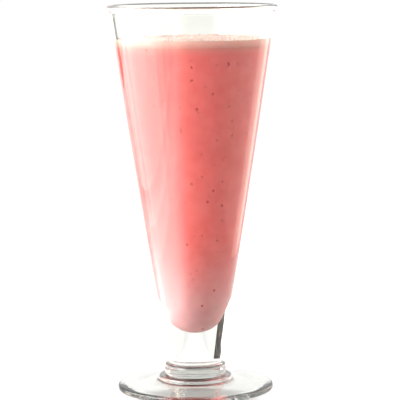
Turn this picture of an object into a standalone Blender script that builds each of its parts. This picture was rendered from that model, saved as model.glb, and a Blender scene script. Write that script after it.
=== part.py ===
"""Strawberry milkshake in a tall footed glass.

The glass is one pressed piece: a long cone with a beaded lip, a thick rounded floor, a solid stem,
two stepped rings and a disc foot. The milkshake fills the cone to about 18 mm under the lip, and a
thin froth lies on it. Units are metres, +Z is up, and the origin is the centre of the foot's
resting plane.
"""

import math

import bmesh
import bpy

SEGMENTS = 48  # facets round the axis, the same for every piece so that their facets line up
FIT_GAP = 0.0003  # clearance between pieces that touch

# Wall of the cone
GLASS_HEIGHT = 0.203
LIP_RADIUS = 0.0446  # outermost radius of the lip bead
LIP_BEAD = 0.0012  # half the thickness of the bead
STEM_FOOT_HEIGHT = 0.0143  # where the cone's straight side would meet the rings
STEM_FOOT_RADIUS = 0.0137
CONE_TOP_HEIGHT = 0.1997
CONE_TOP_RADIUS = 0.0434
CONE_CROWN = 0.0007  # how far the side bulges beyond a straight line at mid height
FLARE_START = 0.1985  # the wall turns out into the lip from here
WALL_AT_LIP = 0.0019
WALL_AT_FLOOR = 0.0090
WALL_TAPER_POWER = 4  # how quickly the wall thins above the floor
FLOOR_TANGENT_HEIGHT = 0.0380  # the rounded floor runs into the wall here

# Stepped rings under the stem
UPPER_RING_TOP = 0.0138
UPPER_RING_RADIUS = 0.0163
UPPER_RING_CORNER = 0.0017
RING_GROOVE_HEIGHT = 0.0075
RING_GROOVE_RADIUS = 0.0157
LOWER_RING_RADIUS = 0.0196
LOWER_RING_CORNER = 0.0013
STEM_FILLET = 0.0010
FOOT_FILLET = 0.0012

# Disc foot
FOOT_RADIUS = 0.0412
FOOT_TOP_AT_RINGS = 0.0047
FOOT_TOP_AT_EDGE = 0.0030
FOOT_EDGE_TOP_CORNER = 0.0013
FOOT_EDGE_LOW_CORNER = 0.0009
RECESS_RADIUS = 0.0350
RECESS_DEPTH = 0.0034  # a shallow dome, as the press leaves it

# Drink and froth
FROTH_LEVEL = 0.1853  # mean height of the froth's top
FROTH_THICKNESS = 0.0031
FROTH_SWELL = 0.0005  # how far the froth rises and falls across the glass
FROTH_CLING = 0.0006  # how far it climbs at the wall
FROTH_RINGS = 7

# Base colours, red, green and blue from 0 to 1
GLASS_COLOUR = (0.93, 0.96, 0.95)
MILKSHAKE_COLOUR = (0.86, 0.30, 0.29)
FROTH_COLOUR = (0.94, 0.72, 0.68)


def smooth_step(value, low, high):
    """0 below low, 1 above high and an S-curve between them."""
    t = min(1.0, max(0.0, (value - low) / (high - low)))
    return t * t * (3 - 2 * t)


def spread(low, high, count):
    """count values from low to high, both included."""
    return [low + (high - low) * i / (count - 1) for i in range(count)]


def arc(centre, radius, start_deg, end_deg, count):
    """Points (radius, height) on a circle of the section, from one angle to another."""
    return [
        (centre[0] + radius * math.cos(a), centre[1] + radius * math.sin(a))
        for a in spread(math.radians(start_deg), math.radians(end_deg), count)
    ]


def lip_centre_height():
    return GLASS_HEIGHT - LIP_BEAD


def wall_outside(height):
    """Outer radius of the cone at a height: a line, a slight crown and the flare to the lip."""
    t = (height - STEM_FOOT_HEIGHT) / (CONE_TOP_HEIGHT - STEM_FOOT_HEIGHT)
    line = STEM_FOOT_RADIUS + (CONE_TOP_RADIUS - STEM_FOOT_RADIUS) * t
    crown = CONE_CROWN * max(0.0, 4 * t * (1 - t))
    line_at_lip = STEM_FOOT_RADIUS + (CONE_TOP_RADIUS - STEM_FOOT_RADIUS) * (
        lip_centre_height() - STEM_FOOT_HEIGHT
    ) / (CONE_TOP_HEIGHT - STEM_FOOT_HEIGHT)
    flare = (LIP_RADIUS - line_at_lip) * smooth_step(height, FLARE_START, lip_centre_height())
    return line + crown + flare


def wall_thickness(height):
    """Thick above the floor, thin near the lip, and swelling again into the lip's bead."""
    t = (height - FLOOR_TANGENT_HEIGHT) / (FLARE_START - FLOOR_TANGENT_HEIGHT)
    taper = (WALL_AT_FLOOR - WALL_AT_LIP) * max(0.0, 1 - t) ** WALL_TAPER_POWER
    bead = (2 * LIP_BEAD - WALL_AT_LIP) * smooth_step(height, FLARE_START, lip_centre_height())
    return WALL_AT_LIP + taper + bead


def wall_inside(height):
    return wall_outside(height) - wall_thickness(height)


def floor_sphere():
    """(centre height, radius, tangent angle in degrees) of the rounded floor inside the cone."""
    step = 0.0001
    slope = (
        wall_inside(FLOOR_TANGENT_HEIGHT + step) - wall_inside(FLOOR_TANGENT_HEIGHT)
    ) / step
    angle = math.atan(slope)
    radius = wall_inside(FLOOR_TANGENT_HEIGHT) / math.cos(angle)
    return FLOOR_TANGENT_HEIGHT + radius * math.sin(angle), radius, math.degrees(angle)


def cavity_section(top, gap):
    """Section of the cone's inside from the axis up to a height, kept a gap away from the glass."""
    centre, radius, tangent = floor_sphere()
    floor = arc((0.0, centre), radius - gap, -90, -tangent, 7)
    rise = top - FLOOR_TANGENT_HEIGHT
    heights = [FLOOR_TANGENT_HEIGHT + rise * s**1.5 for s in spread(0.0, 1.0, 13)[1:]]
    return floor + [(wall_inside(z) - gap, z) for z in heights]


def ring_section():
    """The two stepped rings, from the stem down to the foot."""
    cone = wall_outside(UPPER_RING_TOP + STEM_FILLET)
    stem_fillet = arc(
        (cone + STEM_FILLET, UPPER_RING_TOP + STEM_FILLET), STEM_FILLET, 190, 260, 4
    )
    corner = UPPER_RING_CORNER
    upper_top = arc(
        (UPPER_RING_RADIUS - corner, UPPER_RING_TOP - corner), corner, 85, 0, 5
    )
    groove_in = arc(
        (UPPER_RING_RADIUS - corner, RING_GROOVE_HEIGHT + corner), corner, 0, -55, 4
    )
    groove = [(RING_GROOVE_RADIUS, RING_GROOVE_HEIGHT)]
    corner = LOWER_RING_CORNER
    lower_top = arc(
        (LOWER_RING_RADIUS - corner, RING_GROOVE_HEIGHT - corner), corner, 95, 0, 5
    )
    foot_fillet = arc(
        (LOWER_RING_RADIUS + FOOT_FILLET, FOOT_TOP_AT_RINGS + FOOT_FILLET), FOOT_FILLET, 185, 262, 4
    )
    return stem_fillet + upper_top + groove_in + groove + lower_top + foot_fillet


def foot_section():
    """The disc foot, from its top edge round to the middle of its hollowed underside."""
    top = FOOT_EDGE_TOP_CORNER
    low = FOOT_EDGE_LOW_CORNER
    edge_top = arc((FOOT_RADIUS - top, FOOT_TOP_AT_EDGE - top), top, 85, 0, 5)
    edge_low = arc((FOOT_RADIUS - low, low), low, 0, -90, 4)
    recess = [
        (RECESS_RADIUS * s, RECESS_DEPTH * (1 - s**2))
        for s in (1.0, 0.9, 0.78, 0.64, 0.48, 0.28, 0.0)
    ]
    return edge_top + edge_low + recess


def glass_section():
    """The whole section of the glass, up the inside, over the lip and down the outside."""
    lip = arc((LIP_RADIUS - LIP_BEAD, lip_centre_height()), LIP_BEAD, 165, 15, 7)
    inside = cavity_section(FLARE_START, 0.0)
    inner_flare = [
        (wall_inside(z), z) for z in spread(FLARE_START, lip_centre_height(), 4)[1:]
    ]
    outer_flare = [
        (wall_outside(z), z) for z in spread(lip_centre_height(), FLARE_START, 5)[:-1]
    ]
    outside = [
        (wall_outside(z), z)
        for z in spread(FLARE_START, UPPER_RING_TOP + 2 * STEM_FILLET, 12)
    ]
    return inside + inner_flare + lip + outer_flare + outside + ring_section() + foot_section()


def material(name, colour, roughness, transmission=0.0):
    made = bpy.data.materials.new(name)
    made.use_nodes = True
    shader = made.node_tree.nodes["Principled BSDF"]
    shader.inputs["Base Color"].default_value = (*colour, 1.0)
    shader.inputs["Roughness"].default_value = roughness
    shader.inputs["Metallic"].default_value = 0.0
    shader.inputs["Transmission Weight"].default_value = transmission
    return made


def turned(name, section, surface, collection):
    """An object whose section, points of (radius, height), is turned once round the axis."""
    mesh = bpy.data.meshes.new(name)
    points = [(radius, 0.0, height) for radius, height in section]
    mesh.from_pydata(points, [(i, i + 1) for i in range(len(points) - 1)], [])
    made = bpy.data.objects.new(name, mesh)
    collection.objects.link(made)
    screw = made.modifiers.new("Turned", "SCREW")
    screw.axis = "Z"
    screw.angle = 2 * math.pi
    screw.steps = SEGMENTS
    screw.render_steps = SEGMENTS
    screw.use_merge_vertices = True
    screw.merge_threshold = 0.00002
    screw.use_smooth_shade = True
    made.data.materials.append(surface)
    return made


def froth_rise(x, y):
    """Height of the froth over its mean level: a low mound to the right, swells and a clinging rim."""
    reach = wall_inside(FROTH_LEVEL)
    out = math.hypot(x, y) / reach
    mound = math.exp(-(((x - 0.008) / 0.022) ** 2) - ((y - 0.010) / 0.030) ** 2)
    swells = (
        0.45 * math.sin(170 * x + 0.6)
        + 0.35 * math.sin(210 * y - 110 * x + 1.9)
        + 0.20 * math.sin(430 * x + 260 * y)
    )
    cling = FROTH_CLING * smooth_step(out, 0.90, 1.0)
    return FROTH_SWELL * (mound + 0.6 * swells) * (1 - 0.5 * out**4) + cling


def build_froth(surface, collection):
    """A disc of froth whose sides follow the cone and whose top rises and falls."""
    low = FROTH_LEVEL - FROTH_THICKNESS
    bottom = [(0.0, low)]
    side = [(wall_inside(z) - FIT_GAP, z) for z in spread(low, FROTH_LEVEL, 3)]
    edge = side[-1][0]
    top = [(edge * math.sqrt(s), FROTH_LEVEL) for s in spread(1.0, 0.0, FROTH_RINGS)[1:]]
    shape = turned("froth", (bottom + side + top)[::-1], surface, collection)
    graph = bpy.context.evaluated_depsgraph_get()
    mesh = bpy.data.meshes.new_from_object(shape.evaluated_get(graph))
    shape.modifiers.clear()
    shape.data = mesh
    work = bmesh.new()
    work.from_mesh(mesh)
    for vertex in work.verts:
        if vertex.co.z > FROTH_LEVEL - FIT_GAP:
            vertex.co.z += froth_rise(vertex.co.x, vertex.co.y)
    work.to_mesh(mesh)
    work.free()
    mesh.shade_smooth()
    mesh.set_sharp_from_angle(angle=math.radians(40))
    return shape


def build_milkshake(surface, collection):
    """The drink, a gap away from the glass, up to a gap under the froth."""
    top = FROTH_LEVEL - FROTH_THICKNESS - FIT_GAP
    section = cavity_section(top, FIT_GAP) + [(0.0, top)]
    return turned("milkshake", section[::-1], surface, collection)


def build():
    for left_over in list(bpy.data.objects):
        bpy.data.objects.remove(left_over)
    parts = bpy.data.collections.new("strawberry_milkshake")
    bpy.context.scene.collection.children.link(parts)
    clear = material("clear pressed glass", GLASS_COLOUR, 0.02, transmission=1.0)
    pink = material("strawberry milkshake", MILKSHAKE_COLOUR, 0.35)
    foam = material("milkshake froth", FROTH_COLOUR, 0.55)
    turned("glass", glass_section(), clear, parts)
    build_milkshake(pink, parts)
    build_froth(foam, parts)


build()
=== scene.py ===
"""Strawberry milkshake in a tall footed glass: its surfaces, froth, bubbles and berry flecks.

Metres, +Z up, the origin in the middle of the foot's resting plane, and -Y towards the camera.
"""

import math
import random

import bpy
import numpy as np
from mathutils import Euler, Matrix, Vector


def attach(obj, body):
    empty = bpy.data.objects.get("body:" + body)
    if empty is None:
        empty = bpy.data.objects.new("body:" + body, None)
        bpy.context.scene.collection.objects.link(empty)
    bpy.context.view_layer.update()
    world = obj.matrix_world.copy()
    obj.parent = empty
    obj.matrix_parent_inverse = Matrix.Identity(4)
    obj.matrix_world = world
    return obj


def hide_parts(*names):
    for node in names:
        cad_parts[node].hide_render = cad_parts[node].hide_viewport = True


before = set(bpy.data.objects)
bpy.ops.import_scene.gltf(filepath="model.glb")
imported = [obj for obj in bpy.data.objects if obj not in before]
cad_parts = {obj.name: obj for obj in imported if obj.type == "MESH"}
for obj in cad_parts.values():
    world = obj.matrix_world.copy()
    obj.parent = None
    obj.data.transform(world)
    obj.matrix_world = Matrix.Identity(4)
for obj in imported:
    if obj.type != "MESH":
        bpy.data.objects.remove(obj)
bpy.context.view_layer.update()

# THE GLASS
# One pressed and fire-polished piece of clear soda-lime glass: a long cone with a beaded lip, a
# thick rounded floor, a solid stem, two stepped rings and a disc foot that is hollowed underneath.
# Its section is drawn point by point and spun, as the mould's two halves and plunger leave it.
TURN_STEPS = 256
GLASS_HEIGHT = 0.203
LIP_RADIUS = 0.0446
LIP_BEAD = 0.0012
LIP_HEIGHT = GLASS_HEIGHT - LIP_BEAD
STEM_FOOT_HEIGHT = 0.0143  # where the stem meets the rings
STEM_FOOT_RADIUS = 0.0137
CONE_TOP_HEIGHT = 0.1997
CONE_TOP_RADIUS = 0.0434
CONE_CROWN = 0.0007  # how far the long side swells out of a straight line
FLARE_START = 0.1985
WALL_AT_LIP = 0.0019
WALL_AT_FLOOR = 0.0090
WALL_TAPER_POWER = 4
FLOOR_TANGENT_HEIGHT = 0.0380  # where the inside wall runs into the rounded floor
UPPER_RING_TOP = 0.0138
UPPER_RING_RADIUS = 0.0163
UPPER_RING_CORNER = 0.0017
RING_GROOVE_HEIGHT = 0.0075
RING_GROOVE_RADIUS = 0.0157
LOWER_RING_RADIUS = 0.0196
LOWER_RING_CORNER = 0.0013
STEM_FILLET = 0.0010
FOOT_FILLET = 0.0012
FOOT_RADIUS = 0.0412
FOOT_TOP_AT_RINGS = 0.0047
FOOT_TOP_AT_EDGE = 0.0030
FOOT_EDGE_TOP_CORNER = 0.0013
FOOT_EDGE_LOW_CORNER = 0.0009
RECESS_RADIUS = 0.0350
RECESS_DEPTH = 0.0034  # a shallow dome, through which the foot carries light out to its edge
PRESS_WAVE = 0.00002  # depth of the soft waves that pressing leaves in the skin
PRESS_WAVE_LENGTH = 0.011
# Painted shade in the glass's colour, as thin dark lines where its surface turns sharply:
LIP_PAINTED_LINE = (0.0011, 0.0006)  # below the lip's top, where its painted dark line starts and is full
EDGE_PAINTED_LINE = (0.0012, 0.0006)  # the same, in from the foot's edge
CREASES = (FOOT_TOP_AT_RINGS + 0.0005, RING_GROOVE_HEIGHT, UPPER_RING_TOP - 0.0004)
CREASE_PAINTED_LINE = (0.0007, 0.0001)  # from a crease's height to where its painted dark line ends and is full
CREASE_ENDS = (LOWER_RING_RADIUS + 0.0010, LOWER_RING_RADIUS + 0.0020)  # its reach over the foot
RING_PAINTED_SHADE = 0.35  # share of the painted shade all over the rings
RING_PAINTED_SHADE_SOFT = 0.0008
EDGE_PAINTED_SHADE = 0.70
EDGE_PAINTED_SHADE_TOP = (0.004, 0.006)  # heights between which the edge's painted shade ends, clear of the cone


def smooth_step(value, low, high):
    """0 below one value and 1 above the other, with a soft change between."""
    t = min(1.0, max(0.0, (value - low) / (high - low)))
    return t * t * (3 - 2 * t)


def spread(low, high, count):
    """Evenly spaced values, both ends among them."""
    return [low + (high - low) * i / (count - 1) for i in range(count)]


def arc(centre, radius, start_deg, end_deg, count):
    """Points along part of a circle in the section's plane, angles measured from straight out."""
    return [
        (centre[0] + radius * math.cos(a), centre[1] + radius * math.sin(a))
        for a in spread(math.radians(start_deg), math.radians(end_deg), count)
    ]


def cone_line(height):
    """The straight side's radius at a height, and how far up the cone that is."""
    t = (height - STEM_FOOT_HEIGHT) / (CONE_TOP_HEIGHT - STEM_FOOT_HEIGHT)
    return STEM_FOOT_RADIUS + (CONE_TOP_RADIUS - STEM_FOOT_RADIUS) * t, t


def wall_outside(height):
    line, t = cone_line(height)
    flare = (LIP_RADIUS - cone_line(LIP_HEIGHT)[0]) * smooth_step(height, FLARE_START, LIP_HEIGHT)
    return line + CONE_CROWN * max(0.0, 4 * t * (1 - t)) + flare


def wall_inside(height):
    t = (height - FLOOR_TANGENT_HEIGHT) / (FLARE_START - FLOOR_TANGENT_HEIGHT)
    taper = (WALL_AT_FLOOR - WALL_AT_LIP) * max(0.0, 1 - t) ** WALL_TAPER_POWER
    bead = (2 * LIP_BEAD - WALL_AT_LIP) * smooth_step(height, FLARE_START, LIP_HEIGHT)
    return wall_outside(height) - WALL_AT_LIP - taper - bead


def cavity_section(top, into_wall, count):
    """From the axis up the rounded floor and the inside wall to a height, sunk a little into it."""
    step = 0.0001
    low = FLOOR_TANGENT_HEIGHT
    slope = math.atan((wall_inside(low + step) - wall_inside(low)) / step)
    radius = wall_inside(low) / math.cos(slope)
    centre = (0.0, low + radius * math.sin(slope))
    floor = arc(centre, radius + into_wall, -90, -math.degrees(slope), 24)
    heights = [low + (top - low) * s**1.5 for s in spread(0.0, 1.0, count)[1:]]
    return floor + [(wall_inside(z) + into_wall, z) for z in heights]


def ring_section():
    cone = wall_outside(UPPER_RING_TOP + STEM_FILLET)
    upper = UPPER_RING_CORNER
    lower = LOWER_RING_CORNER
    return (
        arc((cone + STEM_FILLET, UPPER_RING_TOP + STEM_FILLET), STEM_FILLET, 190, 260, 9)
        + arc((UPPER_RING_RADIUS - upper, UPPER_RING_TOP - upper), upper, 85, 0, 12)
        + arc((UPPER_RING_RADIUS - upper, RING_GROOVE_HEIGHT + upper), upper, 0, -55, 9)
        + [(RING_GROOVE_RADIUS, RING_GROOVE_HEIGHT)]
        + arc((LOWER_RING_RADIUS - lower, RING_GROOVE_HEIGHT - lower), lower, 95, 0, 12)
        + arc(
            (LOWER_RING_RADIUS + FOOT_FILLET, FOOT_TOP_AT_RINGS + FOOT_FILLET),
            FOOT_FILLET, 185, 262, 9,
        )
    )


def foot_section():
    top = FOOT_EDGE_TOP_CORNER
    low = FOOT_EDGE_LOW_CORNER
    shares = [math.sin(math.radians(a)) for a in spread(90, 0, 16)]
    return (
        arc((FOOT_RADIUS - top, FOOT_TOP_AT_EDGE - top), top, 85, 0, 12)
        + arc((FOOT_RADIUS - low, low), low, 0, -90, 9)
        + [(RECESS_RADIUS * s, RECESS_DEPTH * (1 - s**2)) for s in shares]
    )


def glass_section():
    lip = arc((LIP_RADIUS - LIP_BEAD, LIP_HEIGHT), LIP_BEAD, 165, 15, 15)
    flare = spread(FLARE_START, LIP_HEIGHT, 8)
    side = spread(FLARE_START, UPPER_RING_TOP + 2 * STEM_FILLET, 30)
    return (
        cavity_section(FLARE_START, 0.0, 30)
        + [(wall_inside(z), z) for z in flare[1:]]
        + lip
        + [(wall_outside(z), z) for z in reversed(flare[1:])]
        + [(wall_outside(z), z) for z in side]
        + ring_section()
        + foot_section()
    )


def turned(name, section):
    """A piece drawn as a chain of points from the axis back to the axis, then spun shut."""
    bpy.ops.object.select_all(action="DESELECT")
    bpy.ops.mesh.primitive_plane_add(size=0.001)
    piece = bpy.context.object
    piece.name = piece.data.name = name
    bpy.ops.object.mode_set(mode="EDIT")
    bpy.ops.mesh.merge(type="CENTER")
    here = Vector((0.0, 0.0, 0.0))
    for i, (radius, height) in enumerate(section):
        step = Vector((radius, 0.0, height)) - here
        if i == 0:
            bpy.ops.transform.translate(value=step)
        else:
            bpy.ops.mesh.extrude_vertices_move(TRANSFORM_OT_translate={"value": step})
        here += step
    bpy.ops.mesh.select_all(action="SELECT")
    bpy.ops.mesh.spin(steps=TURN_STEPS, angle=2 * math.pi, center=(0, 0, 0), axis=(0, 0, 1))
    bpy.ops.mesh.select_all(action="SELECT")
    bpy.ops.mesh.remove_doubles(threshold=0.000004)
    bpy.ops.mesh.normals_make_consistent(inside=False)
    bpy.ops.object.mode_set(mode="OBJECT")
    bpy.ops.object.shade_smooth_by_angle(angle=math.radians(40))
    return piece


def linear(hex_colour):
    """An sRGB hex colour as the linear red, green, blue and alpha that shaders take."""
    values = [int(hex_colour[i : i + 2], 16) / 255 for i in (1, 3, 5)]
    return (*[v / 12.92 if v <= 0.04045 else ((v + 0.055) / 1.055) ** 2.4 for v in values], 1.0)


def node(tree, kind, settings=None, **sockets):
    """Adds a node, sets its options, and gives each named socket a value or a link."""
    made = tree.nodes.new("ShaderNode" + kind)
    for option, value in (settings or {}).items():
        setattr(made, option, value)
    for socket, value in sockets.items():
        target = made.inputs[int(socket[1:]) if socket[1:].isdigit() else socket.replace("_", " ")]
        if isinstance(value, bpy.types.NodeSocket):
            tree.links.new(value, target)
        else:
            target.default_value = value
    return made


def new_material(name):
    made = bpy.data.materials.new(name)
    made.use_nodes = True
    made.node_tree.nodes.clear()
    return made, made.node_tree


def finish_material(tree, shader, **inside):
    """Joins a surface shader, and the volume inside if there is one, to the material's output."""
    node(tree, "OutputMaterial", Surface=shader, **inside)


FALLING = {"To_Min": 1.0, "To_Max": 0.0}


def ramp(tree, value, low, high, **more):
    """0 below one value and 1 above the other, or To_Min and To_Max, with a soft change between."""
    made = node(
        tree, "MapRange", {"interpolation_type": "SMOOTHSTEP"}, Value=value,
        From_Min=low, From_Max=high, **more,
    )
    return made.outputs[0]


def height_ramp(tree, low, high, **more):
    """A ramp between two heights on the piece."""
    height = node(tree, "SeparateXYZ", Vector=node(tree, "TexCoord").outputs["Object"])
    return ramp(tree, height.outputs["Z"], low, high, **more)


def radius_ramp(tree, low, high, **more):
    """A ramp between two distances from the glass's axis."""
    level = node(
        tree, "VectorMath", {"operation": "MULTIPLY"},
        s0=node(tree, "TexCoord").outputs["Object"], s1=(1.0, 1.0, 0.0),
    )
    radius = node(tree, "VectorMath", {"operation": "LENGTH"}, s0=level.outputs[0])
    return ramp(tree, radius.outputs["Value"], low, high, **more)


def times(tree, first, second):
    return node(tree, "Math", {"operation": "MULTIPLY"}, s0=first, s1=second).outputs[0]


def larger(tree, first, second):
    return node(tree, "Math", {"operation": "MAXIMUM"}, s0=first, s1=second).outputs[0]


def blend(tree, share, first, second):
    """The first colour where the share is 0 and the second where it is 1."""
    return node(tree, "MixRGB", Fac=share, Color1=first, Color2=second).outputs[0]


def clear_soda_lime_glass():
    """Fire-polished and so mirror-smooth, with the usual IOR of 1.52 for its bright outlines.

    Iron in the melt gives its depth a faint grey green. Painted shade darkens its colour where it
    turns sharply, at the lip's top, the rings and the foot's edge, as thin dark lines.
    """
    made, tree = new_material("clear soda-lime glass")
    # Painted shade: thin dark lines at the lip's top, the rings, their creases and the foot's edge,
    # blended into the glass's colour.
    painted_shade = height_ramp(tree, *(GLASS_HEIGHT - depth for depth in LIP_PAINTED_LINE))
    low, high, soft = FOOT_TOP_AT_RINGS, UPPER_RING_TOP, RING_PAINTED_SHADE_SOFT
    rings = times(
        tree, height_ramp(tree, low, low + soft, To_Max=RING_PAINTED_SHADE),
        height_ramp(tree, high, high + soft, **FALLING),
    )
    edge = times(
        tree, radius_ramp(tree, *(FOOT_RADIUS - depth for depth in EDGE_PAINTED_LINE), To_Max=EDGE_PAINTED_SHADE),
        height_ramp(tree, *EDGE_PAINTED_SHADE_TOP, **FALLING),
    )
    painted_shade = larger(tree, painted_shade, larger(tree, rings, edge))
    ends, full = CREASE_PAINTED_LINE
    for crease in CREASES:
        line = times(
            tree, height_ramp(tree, crease - ends, crease - full),
            height_ramp(tree, crease + full, crease + ends, **FALLING),
        )
        inner = radius_ramp(tree, *CREASE_ENDS, **FALLING)
        painted_shade = larger(tree, painted_shade, times(tree, line, inner))
    tint = blend(tree, painted_shade, linear("#FEFFFA"), linear("#4C4D4B"))
    body = node(
        tree, "BsdfPrincipled", Base_Color=tint, Roughness=0.0, IOR=1.52,
        Transmission_Weight=1.0,
    )
    iron = node(tree, "VolumeAbsorption", Color=linear("#9AA39B"), Density=2.0)
    finish_material(tree, body.outputs[0], Volume=iron.outputs[0])
    return made


glass = turned("footed_glass", glass_section())
waves = bpy.data.textures.new("press waves", "CLOUDS")
waves.noise_scale = PRESS_WAVE_LENGTH
waves.noise_depth = 1
press = glass.modifiers.new("press waves", "DISPLACE")
press.texture = waves
press.texture_coords = "LOCAL"
press.strength = PRESS_WAVE
press.mid_level = 1.0
bpy.ops.object.modifier_apply(modifier="press waves")
for vertex in glass.data.vertices:
    vertex.co.z = max(0.0, vertex.co.z)  # the waves never lift the foot or reach below the table
glass.data.materials.append(clear_soda_lime_glass())
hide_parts("glass")
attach(glass, "root")

# THE MILKSHAKE
# Milk, ice cream and blended strawberries: a thick opaque pink drink that fills the cone and wets
# the wall, so there is no air behind the glass. It is poured, and so it takes the cavity's shape.
FROTH_LEVEL = 0.1853
FROTH_THICKNESS = 0.0031
DRINK_TOP = FROTH_LEVEL - FROTH_THICKNESS
FROTH_OVERLAP = 0.0004  # the drink's last step, inwards and up, which ends inside the froth
WET_DEPTH = 0.00015  # how far the drink reaches into the wall
AIRY_DEPTH = 0.0045  # below the froth, where the drink still holds fine air
BOTTOM_SHADE_HEIGHTS = (0.034, 0.088)  # heights between which it turns from the painted shade of its bottom to coral
PULP_GRAIN = 0.0016  # size of the finest blended pulp, drawn as coarse as it needs to show
CREAM_CLOUD = 0.007  # size of the patches where more or less cream was stirred in


def fresh_milkshake():
    """Matt in itself and glossy only through the glass; light sinks in and softens all its edges.

    Its pink is clouded by the cream, mottled by the pulp, duskier in the rounded floor as painted
    shade, and paler right under the froth, where it still holds air.
    """
    made, tree = new_material("strawberry milkshake")
    place = node(tree, "TexCoord").outputs["Object"]
    clouds = node(tree, "TexNoise", Vector=place, Scale=1 / CREAM_CLOUD, Detail=4.0, Roughness=0.6)
    cream = node(
        tree, "MapRange", Value=clouds.outputs["Fac"], From_Min=0.35, From_Max=0.68,
    )
    drink = blend(tree, cream.outputs[0], linear("#EC726E"), linear("#F2807B"))
    grain = node(tree, "TexNoise", Vector=place, Scale=1 / PULP_GRAIN, Detail=2.0)
    pulp = ramp(tree, grain.outputs["Fac"], 0.60, 0.74, To_Max=0.30)
    drink = blend(tree, pulp, drink, linear("#D9524C"))
    # Painted shade: the bottom, in the rounded floor, is a duskier, greyer pink.
    bottom_shade = blend(tree, cream.outputs[0], linear("#D79E9F"), linear("#DFA9A8"))
    drink = blend(tree, height_ramp(tree, *BOTTOM_SHADE_HEIGHTS), bottom_shade, drink)
    airy = height_ramp(tree, DRINK_TOP - AIRY_DEPTH, DRINK_TOP)
    drink = blend(tree, airy, drink, linear("#EE9084"))
    body = node(
        tree, "BsdfPrincipled", Base_Color=drink, Roughness=0.45, Specular_IOR_Level=0.05,
        Subsurface_Weight=1.0, Subsurface_Radius=(0.0018, 0.0009, 0.0008), Subsurface_Scale=1.0,
    )
    finish_material(tree, body.outputs[0])
    return made


under_froth = DRINK_TOP + FROTH_OVERLAP
drink = turned(
    "milkshake_body",
    cavity_section(DRINK_TOP, WET_DEPTH, 40)
    + [(wall_inside(DRINK_TOP) - FROTH_OVERLAP, under_froth), (0.0, under_froth)],
)
drink.data.materials.append(fresh_milkshake())
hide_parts("milkshake")
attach(drink, "root")

# THE FROTH
# Blending beats air into the milk, and the foam floats up as a pale layer about 3 mm thick. Its top
# swells and dips, and it clings a little to the wall.
FROTH_SWELL = 0.0005
FROTH_CLING = 0.0006
FROTH_RINGS = 70
MOUND = (0.008, 0.010)
MOUND_REACH = (0.022, 0.030)
FOAM_CELL = 0.0011
FOAM_DENT = 0.0003
TOP_TURN = 0.0006  # to either side of its level, the froth turns from its side's colour to its top's


def froth_rise(x, y):
    """Height of the froth over its mean level: a low mound to the right, swells, a clinging edge."""
    out = math.hypot(x, y) / wall_inside(FROTH_LEVEL)
    mound = math.exp(
        -(((x - MOUND[0]) / MOUND_REACH[0]) ** 2) - ((y - MOUND[1]) / MOUND_REACH[1]) ** 2
    )
    swells = (
        0.45 * math.sin(170 * x + 0.6)
        + 0.35 * math.sin(210 * y - 110 * x + 1.9)
        + 0.20 * math.sin(430 * x + 260 * y)
    )
    cling = FROTH_CLING * smooth_step(out, 0.90, 1.0)
    return FROTH_SWELL * (mound + 0.6 * swells) * (1 - 0.5 * min(out, 1.0) ** 4) + cling


def froth_section():
    side = [(wall_inside(z) + WET_DEPTH, z) for z in spread(DRINK_TOP, FROTH_LEVEL, 6)]
    top = [(side[-1][0] * s, FROTH_LEVEL) for s in spread(1.0, 0.0, FROTH_RINGS)[1:]]
    return [(0.0, DRINK_TOP)] + side + top


def milk_froth():
    """A fine-celled foam: cream on top, pinker against the glass, with pits between the bubbles.

    Light goes further into it than into the drink, so it glows softly, and it is wet enough for a
    little shine.
    """
    made, tree = new_material("milk froth")
    place = node(tree, "TexCoord").outputs["Object"]
    cells = node(tree, "TexVoronoi", Vector=place, Scale=1 / FOAM_CELL)
    pits = node(
        tree, "MapRange", Value=cells.outputs["Distance"], From_Min=0.2, From_Max=0.8, To_Max=0.6,
    )
    side = blend(
        tree, height_ramp(tree, DRINK_TOP, FROTH_LEVEL), linear("#F09A8D"), linear("#F9C6B9"),
    )
    foam = blend(
        tree, height_ramp(tree, FROTH_LEVEL - TOP_TURN, FROTH_LEVEL + TOP_TURN), side,
        linear("#F2CFC2"),
    )
    foam = blend(tree, pits.outputs[0], foam, linear("#EFB0A2"))
    dents = node(
        tree, "Bump", {"invert": True}, Strength=0.5, Distance=FOAM_DENT,
        Height=cells.outputs["Distance"],
    )
    body = node(
        tree, "BsdfPrincipled", Base_Color=foam, Roughness=0.4, Specular_IOR_Level=0.2,
        Subsurface_Weight=0.6, Subsurface_Radius=(0.0030, 0.0016, 0.0012), Subsurface_Scale=1.0,
        Normal=dents.outputs[0],
    )
    finish_material(tree, body.outputs[0])
    return made


froth = turned("froth_layer", froth_section())
for vertex in froth.data.vertices:
    if vertex.co.z > FROTH_LEVEL - 0.0001:
        vertex.co.z += froth_rise(vertex.co.x, vertex.co.y)
froth.data.materials.append(milk_froth())
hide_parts("froth")
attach(froth, "root")

# THE BUBBLES
# Larger bubbles stand in the foam, thickest towards the right and along the wall, where they touch
# the glass. Each is a thin film of milk round air.
BUBBLE_COUNT = 900
BUBBLE_RADII = (0.00022, 0.00075)
CROWD_PLACE = 0.012  # how far right of the middle the bubbles stand thickest
CROWD_REACH = 0.020
FILM_PATCH = 0.00143  # size of the film's paler and pinker patches


def small_model(subdivisions):
    """Points and faces of a round bead of radius 1, as the pattern for joined copies."""
    bpy.ops.object.select_all(action="DESELECT")
    bpy.ops.mesh.primitive_ico_sphere_add(subdivisions=subdivisions, radius=1.0)
    bead = bpy.context.object
    points = np.array([v.co[:] for v in bead.data.vertices])
    faces = np.array([p.vertices[:] for p in bead.data.polygons])
    bpy.data.objects.remove(bead)
    return points, faces


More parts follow.
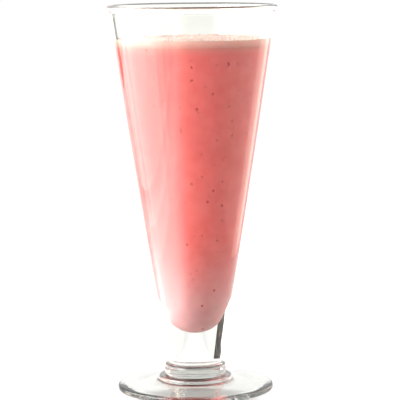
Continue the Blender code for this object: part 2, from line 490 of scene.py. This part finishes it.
def joined(name, model, places, shapes=None):
    """One mesh that holds a copy of the model, or of its shapes in turn, at each place."""
    points, faces = model
    shapes = shapes or [points]
    stacked = np.vstack([
        shapes[i % len(shapes)] @ np.array(m)[:3, :3].T + np.array(m)[:3, 3]
        for i, m in enumerate(places)
    ])
    turns = np.vstack([faces + i * len(points) for i in range(len(places))])
    mesh = bpy.data.meshes.new(name)
    mesh.from_pydata(stacked.tolist(), [], turns.tolist())
    mesh.shade_smooth()
    piece = bpy.data.objects.new(name, mesh)
    bpy.context.scene.collection.objects.link(piece)
    return piece


def mottled(tree, patch, detail, low, high, first, second):
    """A colour that wanders between two, in patches of about the given size."""
    place = node(tree, "TexCoord").outputs["Object"]
    vary = node(tree, "TexNoise", Vector=place, Scale=1 / patch, Detail=detail)
    tint = node(tree, "ValToRGB", Fac=vary.outputs["Fac"])
    tint.color_ramp.elements[0].position = low
    tint.color_ramp.elements[0].color = linear(first)
    tint.color_ramp.elements[1].position = high
    tint.color_ramp.elements[1].color = linear(second)
    return tint.outputs["Color"]


def bubble_film():
    """Wet milk film with the IOR of milk: a small sharp glint on each, paler than the foam."""
    made, tree = new_material("milk bubble film")
    film = mottled(tree, FILM_PATCH, 1.0, 0.35, 0.65, "#F5C9BF", "#FFF1EA")
    body = node(tree, "BsdfPrincipled", Base_Color=film, Roughness=0.12, IOR=1.34)
    finish_material(tree, body.outputs[0])
    return made


draw = random.Random(21)
bubble_places = []
reach = wall_inside(FROTH_LEVEL)
while len(bubble_places) < BUBBLE_COUNT:
    size = BUBBLE_RADII[0] + (BUBBLE_RADII[1] - BUBBLE_RADII[0]) * draw.random() ** 3
    turn = draw.uniform(-math.pi, math.pi)
    out = (reach - 0.6 * size) * math.sqrt(draw.random())
    x, y = out * math.sin(turn), -out * math.cos(turn)
    along_wall = 0.6 * (out > 0.93 * reach)
    crowd = 0.25 + 0.75 * math.exp(-((x - CROWD_PLACE) / CROWD_REACH) ** 2) + along_wall
    if draw.random() > crowd:
        continue
    z = FROTH_LEVEL + froth_rise(x, y) + size * draw.uniform(-0.2, 0.35)
    bubble_places.append(Matrix.Translation((x, y, z)) @ Matrix.Diagonal((size, size, size, 1.0)))
bubbles = joined("froth_bubbles", small_model(2), bubble_places)
bubbles.data.materials.append(bubble_film())
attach(bubbles, "root")

# THE BERRY FLECKS
# The blender leaves specks of red skin and whole seeds. Those that lie against the glass show
# clearly; they are pressed flat there, one or two tenths of a millimetre into the wall's face.
MM = 0.001
# Turn from the front in degrees, height and length in millimetres, of the ones that the front shows.
FRONT_FLECKS = [
    (28, 174.0, 2.0), (3, 151.2, 1.7), (16, 158.9, 1.3), (-36, 181.1, 1.4), (-46, 174.8, 1.3),
    (-1, 172.6, 1.4), (-1, 166.0, 1.3), (-32, 166.1, 1.2), (-25, 155.1, 1.2), (-39, 159.9, 1.2),
    (-11, 139.6, 1.4), (37, 137.0, 1.3), (21, 108.6, 1.3), (15, 102.8, 1.5), (33, 100.4, 1.5),
    (-10, 80.2, 1.4), (-50, 71.3, 1.2), (38, 54.9, 1.4), (16, 46.9, 1.2), (-69, 46.1, 1.0),
    (-47, 47.4, 1.0), (30, 34.0, 1.1),
]
SKIN_PROUD = 0.00008  # how far a fleck stands out of the drink
LOOSE_FLECKS = 520
LOOSE_SIZES = (0.0005, 0.0015)
LOOSE_HEIGHTS = (0.040, FROTH_LEVEL - 0.006)
PULP_PROUD = 0.00005
SKIN_PATCH = 0.00111  # size of a fleck's darker and lighter patches
CAVITY = cavity_section(FROTH_LEVEL, 0.0, 60)


def cavity_radius(height):
    """The inside wall's radius at any height, down into the rounded floor."""
    return float(np.interp(height, [p[1] for p in CAVITY], [p[0] for p in CAVITY]))


def fleck_place(turn_deg, height, length, width, proud):
    """A fleck's place flat on the wall's inside face, standing a little out of the drink."""
    turn = math.radians(turn_deg)
    level = Vector((math.sin(turn), -math.cos(turn), 0.0))
    rise = Vector((0.0, 0.0, 0.001)) + level * (
        cavity_radius(height + 0.0005) - cavity_radius(height - 0.0005)
    )
    rise.normalize()
    along = rise.cross(level).normalized()
    outward = along.cross(rise)
    axes = Matrix((along, rise, outward)).transposed().to_4x4()
    spin = Matrix.Rotation(draw.uniform(0, math.pi), 4, "Z")
    shape = Matrix.Diagonal((length / 2, width / 2, proud * 2, 1.0))
    point = level * cavity_radius(height) + Vector((0.0, 0.0, height))
    return Matrix.Translation(point + outward * (WET_DEPTH - proud)) @ axes @ spin @ shape


def torn_shapes(points, count):
    """The bead with its rim pushed in and out by a few waves, as torn skin is never round."""
    turn = np.arctan2(points[:, 1], points[:, 0])
    shapes = []
    for _ in range(count):
        rim = 1.0 + sum(
            draw.uniform(0.5, 1.0) * 0.34 / wave**0.7 * np.sin(wave * turn + draw.uniform(0, 6.3))
            for wave in (2, 3, 5, 7)
        )
        shapes.append(points * np.stack([rim, rim, np.ones_like(rim)], axis=1))
    return shapes


def berry_skin(name, dark, light):
    """Wet skin or pulp pressed against the glass: matt there, deep red, and uneven in colour."""
    made, tree = new_material(name)
    skin = mottled(tree, SKIN_PATCH, 2.0, 0.3, 0.7, dark, light)
    body = node(
        tree, "BsdfPrincipled", Base_Color=skin, Roughness=0.5, Specular_IOR_Level=0.05,
    )
    finish_material(tree, body.outputs[0])
    return made


front_places = [
    fleck_place(turn, height * MM, 1.1 * length * MM, 0.85 * length * MM, SKIN_PROUD)
    for turn, height, length in FRONT_FLECKS
]
bead = small_model(3)
flecks = joined("berry_skin_flecks", bead, front_places, torn_shapes(bead[0], 8))
flecks.data.materials.append(berry_skin("strawberry skin", "#AE281C", "#CE4A3A"))
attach(flecks, "root")

loose_places = []
for _ in range(LOOSE_FLECKS):
    low, high = LOOSE_HEIGHTS
    height = low + (high - low) * math.sqrt(draw.random())
    small, large = LOOSE_SIZES
    size = small + (large - small) * draw.random() ** 2
    turn = draw.uniform(-180, 180)
    loose_places.append(fleck_place(turn, height, size, size * draw.uniform(0.5, 0.9), PULP_PROUD))
bead = small_model(2)
pulp = joined("berry_pulp_flecks", bead, loose_places, torn_shapes(bead[0], 12))
pulp.data.materials.append(berry_skin("strawberry pulp", "#B2443A", "#CE655A"))
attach(pulp, "root")

# THE STUDIO
# A white sweep lit from below, in a room that is white behind the glass and dim on the camera's
# side. Soft boxes stand left, right and above, a lit sheet lies at the left for the pale veil in
# the glass, and two black cards give the glass its dark lines.
CAMERA_PLACE = (0.0, -1.0524, 0.2322)
CAMERA_DOWN = 7.136  # this and the next two in degrees
CAMERA_ASIDE = 0.174
CAMERA_ROLL = -0.479
PICTURE = 400
FOCAL_PIXELS = 2012.6
LAYER_GAP = 0.01  # between layers of light, as two in one plane would hide each other
WORN_PATCH = 0.111  # size of the felt cards' worn patches

camera_data = bpy.data.cameras.new("camera")
camera = bpy.data.objects.new("camera", camera_data)
bpy.context.scene.collection.objects.link(camera)
camera_data.sensor_width = 36.0
camera_data.lens = camera_data.sensor_width * FOCAL_PIXELS / PICTURE
aim = Euler((math.radians(90 - CAMERA_DOWN), 0.0, math.radians(-CAMERA_ASIDE))).to_matrix()
roll = Matrix.Rotation(math.radians(CAMERA_ROLL), 3, "Z")
camera.matrix_world = Matrix.Translation(CAMERA_PLACE) @ (aim @ roll).to_4x4()
bpy.context.scene.camera = camera
bpy.context.scene.view_settings.view_transform = "Standard"
bpy.context.scene.cycles.max_bounces = 24
bpy.context.scene.cycles.glossy_bounces = 16
bpy.context.scene.cycles.transmission_bounces = 24


def soft_box(name, place, facing, width, height, radiance, colour="#FFFFFF", in_glass=True):
    """A lit rectangle that the camera never sees; in_glass says if the glass mirrors it."""
    lamp = bpy.data.lights.new(name, "AREA")
    lamp.shape = "RECTANGLE"
    lamp.size = width
    lamp.size_y = height
    lamp.energy = radiance * math.pi * width * height
    lamp.color = linear(colour)[:3]
    holder = bpy.data.objects.new(name, lamp)
    holder.location = place
    holder.rotation_euler = Vector(facing).to_track_quat("-Z", "Y").to_euler()
    holder.visible_camera = False
    holder.visible_glossy = holder.visible_transmission = in_glass
    bpy.context.scene.collection.objects.link(holder)


# Each side has several layers, which end one after another, so that no hard edge shows in the
# glass: on the left towards the camera, away from it and downwards, on the right to the camera.
for i, near in enumerate((0.15, 0.22, 0.32)):
    far = 0.05 + 0.07 * i
    low = 0.022 * i
    place = (-0.20 - LAYER_GAP * i, (far - near) / 2, (0.41 + low) / 2)
    soft_box(f"left soft box {i}", place, (1, 0, 0), near + far, 0.41 - low, 1.35)
soft_box("top soft box", (0.0, 0.0, 0.7), (0, 0, -1), 0.5, 0.5, 1.4, in_glass=False)
soft_box("far left soft box", (-1.0, -0.6, 0.5), (1.0, 0.6, -0.35), 0.8, 0.9, 5.0)
for i, (reach, radiance) in enumerate(
    ((0.12, 1.0), (0.20, 1.0), (0.34, 0.22), (0.40, 0.22), (0.46, 0.22), (0.52, 0.22))
):
    place = (0.20 + LAYER_GAP * i, 0.27 - reach / 2, 0.20)
    soft_box(f"right soft box {i}", place, (-1, 0, 0), reach, 0.40, radiance, "#FFEAD6")


def black_felt():
    """Worn black felt: matt, with browner patches where the nap has gone."""
    made, tree = new_material("black felt")
    place = node(tree, "TexCoord").outputs["Object"]
    worn = node(tree, "TexNoise", Vector=place, Scale=1 / WORN_PATCH, Detail=3.0)
    patches = node(tree, "MapRange", Value=worn.outputs["Fac"], From_Min=0.56, From_Max=0.64)
    cloth = blend(tree, patches.outputs[0], linear("#100D08"), linear("#8A8058"))
    body = node(tree, "BsdfPrincipled", Base_Color=cloth, Roughness=1.0)
    finish_material(tree, body.outputs[0])
    return made


def dark_card(name, place, facing, width, height):
    """A black card out of the picture, which only the glass sees, as its dark lines need one."""
    bpy.ops.object.select_all(action="DESELECT")
    turn = Vector(facing).to_track_quat("Z", "Y").to_euler()
    bpy.ops.mesh.primitive_plane_add(size=1.0, location=place, rotation=turn)
    card = bpy.context.object
    card.name = name
    card.scale = (width, height, 1.0)
    card.data.materials.append(black_felt())
    card.visible_camera = card.visible_diffuse = card.visible_shadow = False


dark_card("camera side card", (0.0, -1.7, 0.65), (0, 1, 0), 2.6, 1.3)
dark_card("back left card", (-0.74, 0.67, 0.060), (0.74, -0.67, 0), 0.56, 0.11)


def turn_from_front(tree):
    """Angle round the glass from -Y towards -X in radians, and the distance from its axis."""
    place = node(tree, "TexCoord").outputs["Object"]
    mirrored = node(tree, "VectorMath", {"operation": "SCALE"}, s0=place, Scale=-1.0)
    parts = node(tree, "SeparateXYZ", Vector=mirrored.outputs[0])
    turn = node(tree, "Math", {"operation": "ARCTAN2"}, s0=parts.outputs["X"], s1=parts.outputs["Y"])
    flat = node(tree, "VectorMath", {"operation": "LENGTH"}, s0=place)
    return turn.outputs[0], flat.outputs["Value"]


def white_sweep():
    """White acrylic lit from below: matt and plain, its glow dimmer in front of the foot and, as
    painted shadow, under it.
    """
    made, tree = new_material("white acrylic sweep")
    turn, far = turn_from_front(tree)
    aside = node(tree, "Math", {"operation": "ABSOLUTE"}, s0=turn)
    front = times(
        tree, ramp(tree, aside.outputs[0], 0.5, 1.1, **FALLING),
        ramp(tree, far, 0.12, 0.30, **FALLING),
    )
    # Painted contact shadow: the glow is dimmed under the foot.
    glow = times(
        tree, ramp(tree, far, 0.034, 0.050, To_Min=0.74, To_Max=0.90),
        ramp(tree, front, 0.0, 1.0, To_Min=1.0, To_Max=0.35),
    )
    glow = times(tree, glow, ramp(tree, far, 0.3, 0.7, To_Min=1.0, To_Max=1.25))
    glow = times(tree, glow, ramp(tree, far, 3.0, 5.0, To_Min=1.0, To_Max=0.82))
    body = node(
        tree, "BsdfPrincipled", Base_Color=linear("#959595"), Roughness=0.9,
        Specular_IOR_Level=0.0, Emission_Color=linear("#FFFFFF"), Emission_Strength=glow,
    )
    finish_material(tree, body.outputs[0])
    return made


bpy.ops.object.select_all(action="DESELECT")
bpy.ops.mesh.primitive_plane_add(size=60.0)
sweep = bpy.context.object
sweep.name = "sweep"
sweep.data.materials.append(white_sweep())


def lit_paper():
    """Lit paper, strongest beside the glass and fading to the front, the back and the far left."""
    made, tree = new_material("lit paper")
    turn, far = turn_from_front(tree)
    share = times(
        tree, ramp(tree, turn, 0.06, 0.92), ramp(tree, turn, 1.9, 2.5, **FALLING)
    )
    share = times(tree, share, ramp(tree, far, 0.080, 0.110))
    aside = node(tree, "SeparateXYZ", Vector=node(tree, "TexCoord").outputs["Object"])
    share = times(tree, share, ramp(tree, aside.outputs["X"], -0.38, -0.18))
    clear = node(tree, "BsdfTransparent")
    light = node(tree, "Emission", Color=linear("#FFFFFF"), Strength=5.9)
    both = node(tree, "MixShader", Fac=share, s1=clear.outputs[0], s2=light.outputs[0])
    finish_material(tree, both.outputs[0])
    return made


bpy.ops.object.select_all(action="DESELECT")
bpy.ops.mesh.primitive_plane_add(size=1.2)
lit_sheet = bpy.context.object
lit_sheet.name = "lit sheet"
lit_sheet.location.z = 0.0015
lit_sheet.data.materials.append(lit_paper())
lit_sheet.visible_camera = False


def studio_world():
    """White behind the glass, dimmer behind the camera, and nearly dark overhead."""
    world = bpy.data.worlds.new("studio")
    world.use_nodes = True
    tree = world.node_tree
    tree.nodes.clear()
    towards = node(tree, "SeparateXYZ", Vector=node(tree, "TexCoord").outputs["Generated"])
    walls = ramp(tree, towards.outputs["Y"], -0.2, 0.2, To_Min=0.35, To_Max=1.08)
    ceiling = ramp(tree, towards.outputs["Z"], 0.50, 0.74, To_Min=1.0, To_Max=0.05)
    light = node(
        tree, "Background", Color=linear("#FFFFFF"), Strength=times(tree, walls, ceiling)
    )
    node(tree, "OutputWorld", Surface=light.outputs[0])
    bpy.context.scene.world = world


studio_world()
